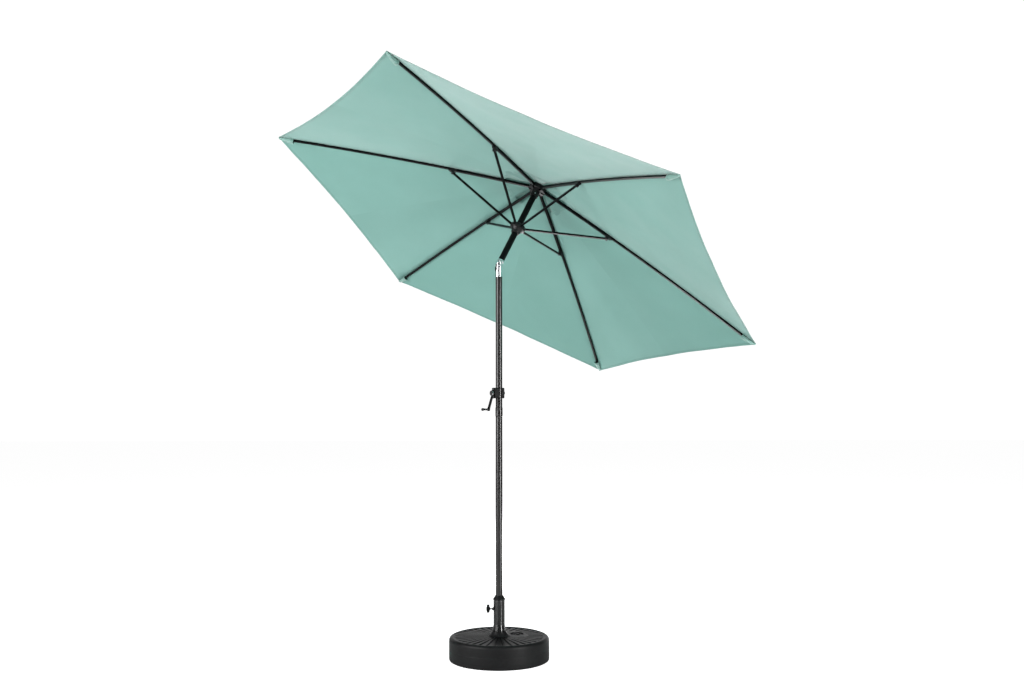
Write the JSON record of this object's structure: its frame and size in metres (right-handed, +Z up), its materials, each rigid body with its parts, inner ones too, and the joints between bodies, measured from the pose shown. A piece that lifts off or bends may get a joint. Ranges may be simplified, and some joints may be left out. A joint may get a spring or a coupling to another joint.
{
  "type": "patio umbrella with base",
  "caption": "Crank-lift garden parasol with a push-button tilt, a vented hexagonal canopy and a filled round base with a clamped pole sleeve.",
  "frame": {"origin": "on the ground, at the middle of the base's underside", "axes": "+Z up; +X to the right and +Y away from the viewer of the reference view; the canopy leans towards 37.5 degrees from +X to +Y"},
  "size_m": [2.4468, 2.3156, 2.773],
  "materials": {
    "base_plastic": "moulded, satin, light texture",
    "sand": "loose grain",
    "black_plastic": "moulded, satin",
    "pole_paint": "powder coat, semi-gloss",
    "frame_paint": "powder coat, satin",
    "chrome": "polished",
    "steel": "zinc plated",
    "cord": "braided",
    "canopy_fabric": "plain-weave polyester"
  },
  "bodies": {
    "base": {"base_shell": "base_plastic", "sand_fill": "sand", "base_sleeve": "pole_paint", "sleeve_bush": "black_plastic", "sleeve_collar": "black_plastic"},
    "fill_cap": {"fill_cap": "black_plastic"},
    "clamp_screw": {"clamp_screw": "steel"},
    "clamp_knob": {"clamp_knob": "black_plastic"},
    "pole": {"lower_pole": "pole_paint", "middle_pole": "pole_paint", "crank_housing": "black_plastic", "crank_cover": "black_plastic", "cover_screws": "steel", "lower_knuckle": "chrome", "tilt_pins": "steel", "button_spring": "steel", "lift_cord_lower": "cord"},
    "crank": {"crank_shaft": "steel", "crank_arm": "black_plastic", "crank_cap": "chrome"},
    "crank_grip": {"crank_grip": "black_plastic"},
    "tilt_button": {"tilt_button": "black_plastic"},
    "tilting_pole": {"upper_pole": "frame_paint", "upper_knuckle": "chrome", "crown": "black_plastic", "crown_pins": "steel", "crown_screw": "steel", "finial": "black_plastic", "pulley_pin": "steel", "lift_cord_upper": "cord"},
    "pulley": {"cord_pulley": "black_plastic"},
    "runner": {"runner": "black_plastic", "runner_pins": "steel"},
    "rib_1": {"rib_1": "frame_paint", "rib_fittings_1": "black_plastic", "canopy_gore_1": "canopy_fabric"},
    "stretcher_1": {"stretcher_1": "frame_paint"},
    "rib_2": {"rib_2": "frame_paint", "rib_fittings_2": "black_plastic", "canopy_gore_2": "canopy_fabric"},
    "stretcher_2": {"stretcher_2": "frame_paint"},
    "rib_3": {"rib_3": "frame_paint", "rib_fittings_3": "black_plastic", "canopy_gore_3": "canopy_fabric"},
    "stretcher_3": {"stretcher_3": "frame_paint"},
    "rib_4": {"rib_4": "frame_paint", "rib_fittings_4": "black_plastic", "canopy_gore_4": "canopy_fabric"},
    "stretcher_4": {"stretcher_4": "frame_paint"},
    "rib_5": {"rib_5": "frame_paint", "rib_fittings_5": "black_plastic", "canopy_gore_5": "canopy_fabric"},
    "stretcher_5": {"stretcher_5": "frame_paint"},
    "rib_6": {"rib_6": "frame_paint", "rib_fittings_6": "black_plastic", "canopy_gore_6": "canopy_fabric"},
    "stretcher_6": {"stretcher_6": "frame_paint"}
  },
  "joints": [
    {"name": "cap_unscrew", "type": "slide", "parent": "base", "child": "fill_cap", "axis": [0, 0, 1], "range_m": [0, 0.03]},
    {"name": "clamp_travel", "type": "slide", "parent": "base", "child": "clamp_screw", "axis": [-1, 0, 0], "range_m": [0, 0.00375]},
    {"name": "clamp_turn", "type": "hinge", "parent": "clamp_screw", "child": "clamp_knob", "pos_m": [-0.054, 0, 0.2505], "axis": [-1, 0, 0], "range_deg": [-1, 902]},
    {"name": "pole_swivel", "type": "hinge", "parent": "base", "child": "pole", "pos_m": [0, 0, 0.2], "axis": [0, 0, 1], "range_deg": [-180, 180]},
    {"name": "tilt", "type": "hinge", "parent": "pole", "child": "tilting_pole", "pos_m": [0, 0, 1.98], "axis": [-0.6088, 0.7934, 0], "range_deg": [-31.4, 0]},
    {"name": "button_press", "type": "slide", "parent": "pole", "child": "tilt_button", "axis": [0.7934, 0.6088, 0], "range_m": [0, 0.004], "stiffness_N_per_m": 1200, "springref_m": -0.002, "deforming": ["button_spring"]},
    {"name": "canopy_fold", "type": "hinge", "parent": "tilting_pole", "child": "rib_1", "pos_m": [0.21504, 0.18085, 2.37922], "axis": [-0.816, 0.545, 0.1926], "range_deg": [0, 13], "deforming": ["canopy_gore_1", "canopy_gore_2", "canopy_gore_3", "canopy_gore_4", "canopy_gore_5", "canopy_gore_6", "lift_cord_upper"]},
    {"name": "rib_fold_2", "type": "hinge", "parent": "tilting_pole", "child": "rib_2", "pos_m": [0.18414, 0.1837, 2.39312], "axis": [-0.758, -0.3996, 0.5156], "range_deg": [-0.05, 13.05]},
    {"name": "rib_fold_3", "type": "hinge", "parent": "tilting_pole", "child": "rib_3", "pos_m": [0.1704, 0.15732, 2.40958], "axis": [0.058, -0.9446, 0.3229], "range_deg": [-0.05, 13.05]},
    {"name": "rib_fold_4", "type": "hinge", "parent": "tilting_pole", "child": "rib_4", "pos_m": [0.18756, 0.12807, 2.41214], "axis": [0.816, -0.545, -0.1926], "range_deg": [-0.05, 13.05]},
    {"name": "rib_fold_5", "type": "hinge", "parent": "tilting_pole", "child": "rib_5", "pos_m": [0.21846, 0.12522, 2.39824], "axis": [0.758, 0.3996, -0.5156], "range_deg": [-0.05, 13.05]},
    {"name": "rib_fold_6", "type": "hinge", "parent": "tilting_pole", "child": "rib_6", "pos_m": [0.2322, 0.15161, 2.38178], "axis": [-0.058, 0.9446, -0.3229], "range_deg": [-0.05, 13.05]},
    {"name": "brace_1", "type": "hinge", "parent": "rib_1", "child": "stretcher_1", "pos_m": [0.33482, 0.46206, 2.09103], "axis": [-0.816, 0.545, 0.1926], "range_deg": [-24.09, 0.1]},
    {"name": "brace_2", "type": "hinge", "parent": "rib_2", "child": "stretcher_2", "pos_m": [-0.06517, 0.499, 2.271], "axis": [-0.758, -0.3996, 0.5156], "range_deg": [-24.09, 0.1]},
    {"name": "brace_3", "type": "hinge", "parent": "rib_3", "child": "stretcher_3", "pos_m": [-0.24303, 0.15737, 2.48408], "axis": [0.058, -0.9446, 0.3229], "range_deg": [-24.09, 0.1]},
    {"name": "brace_4", "type": "hinge", "parent": "rib_4", "child": "stretcher_4", "pos_m": [-0.02091, -0.22119, 2.51718], "axis": [0.816, -0.545, -0.1926], "range_deg": [-24.09, 0.1]},
    {"name": "brace_5", "type": "hinge", "parent": "rib_5", "child": "stretcher_5", "pos_m": [0.37907, -0.25813, 2.33721], "axis": [0.758, 0.3996, -0.5156], "range_deg": [-24.09, 0.1]},
    {"name": "brace_6", "type": "hinge", "parent": "rib_6", "child": "stretcher_6", "pos_m": [0.55694, 0.08349, 2.12413], "axis": [-0.058, 0.9446, -0.3229], "range_deg": [-24.09, 0.1]},
    {"name": "runner_slide", "type": "slide", "parent": "tilting_pole", "child": "runner", "axis": [0.4133, 0.3172, 0.8536], "range_m": [-0.16472, 0.0005]},
    {"name": "crank_turn", "type": "hinge", "parent": "pole", "child": "crank", "pos_m": [0, 0, 1.328], "axis": [0.7934, 0.6088, 0], "range_deg": [-1, 1029.33]},
    {"name": "grip_spin", "type": "hinge", "parent": "crank", "child": "crank_grip", "pos_m": [-0.0714, -0.05479, 1.246], "axis": [0.7934, 0.6088, 0], "continuous": true},
    {"name": "pulley_turn", "type": "hinge", "parent": "tilting_pole", "child": "pulley", "pos_m": [0.18723, 0.15801, 2.36368], "axis": [-0.9087, 0.0839, 0.4089], "range_deg": [-1, 1029.33]}
  ],
  "couplings": [
    {"joint": "clamp_turn", "follows": "clamp_travel", "rad_per_m": 4188.8},
    {"joint": "rib_fold_2", "follows": "canopy_fold", "ratio": 1},
    {"joint": "rib_fold_3", "follows": "canopy_fold", "ratio": 1},
    {"joint": "rib_fold_4", "follows": "canopy_fold", "ratio": 1},
    {"joint": "rib_fold_5", "follows": "canopy_fold", "ratio": 1},
    {"joint": "rib_fold_6", "follows": "canopy_fold", "ratio": 1},
    {"joint": "brace_1", "follows": "canopy_fold", "ratio": -1.8455},
    {"joint": "brace_2", "follows": "canopy_fold", "ratio": -1.8455},
    {"joint": "brace_3", "follows": "canopy_fold", "ratio": -1.8455},
    {"joint": "brace_4", "follows": "canopy_fold", "ratio": -1.8455},
    {"joint": "brace_5", "follows": "canopy_fold", "ratio": -1.8455},
    {"joint": "brace_6", "follows": "canopy_fold", "ratio": -1.8455},
    {"joint": "runner_slide", "follows": "canopy_fold", "m_per_rad": -0.72379},
    {"joint": "crank_turn", "follows": "canopy_fold", "ratio": 79.102},
    {"joint": "pulley_turn", "follows": "canopy_fold", "ratio": 79.102}
  ]
}
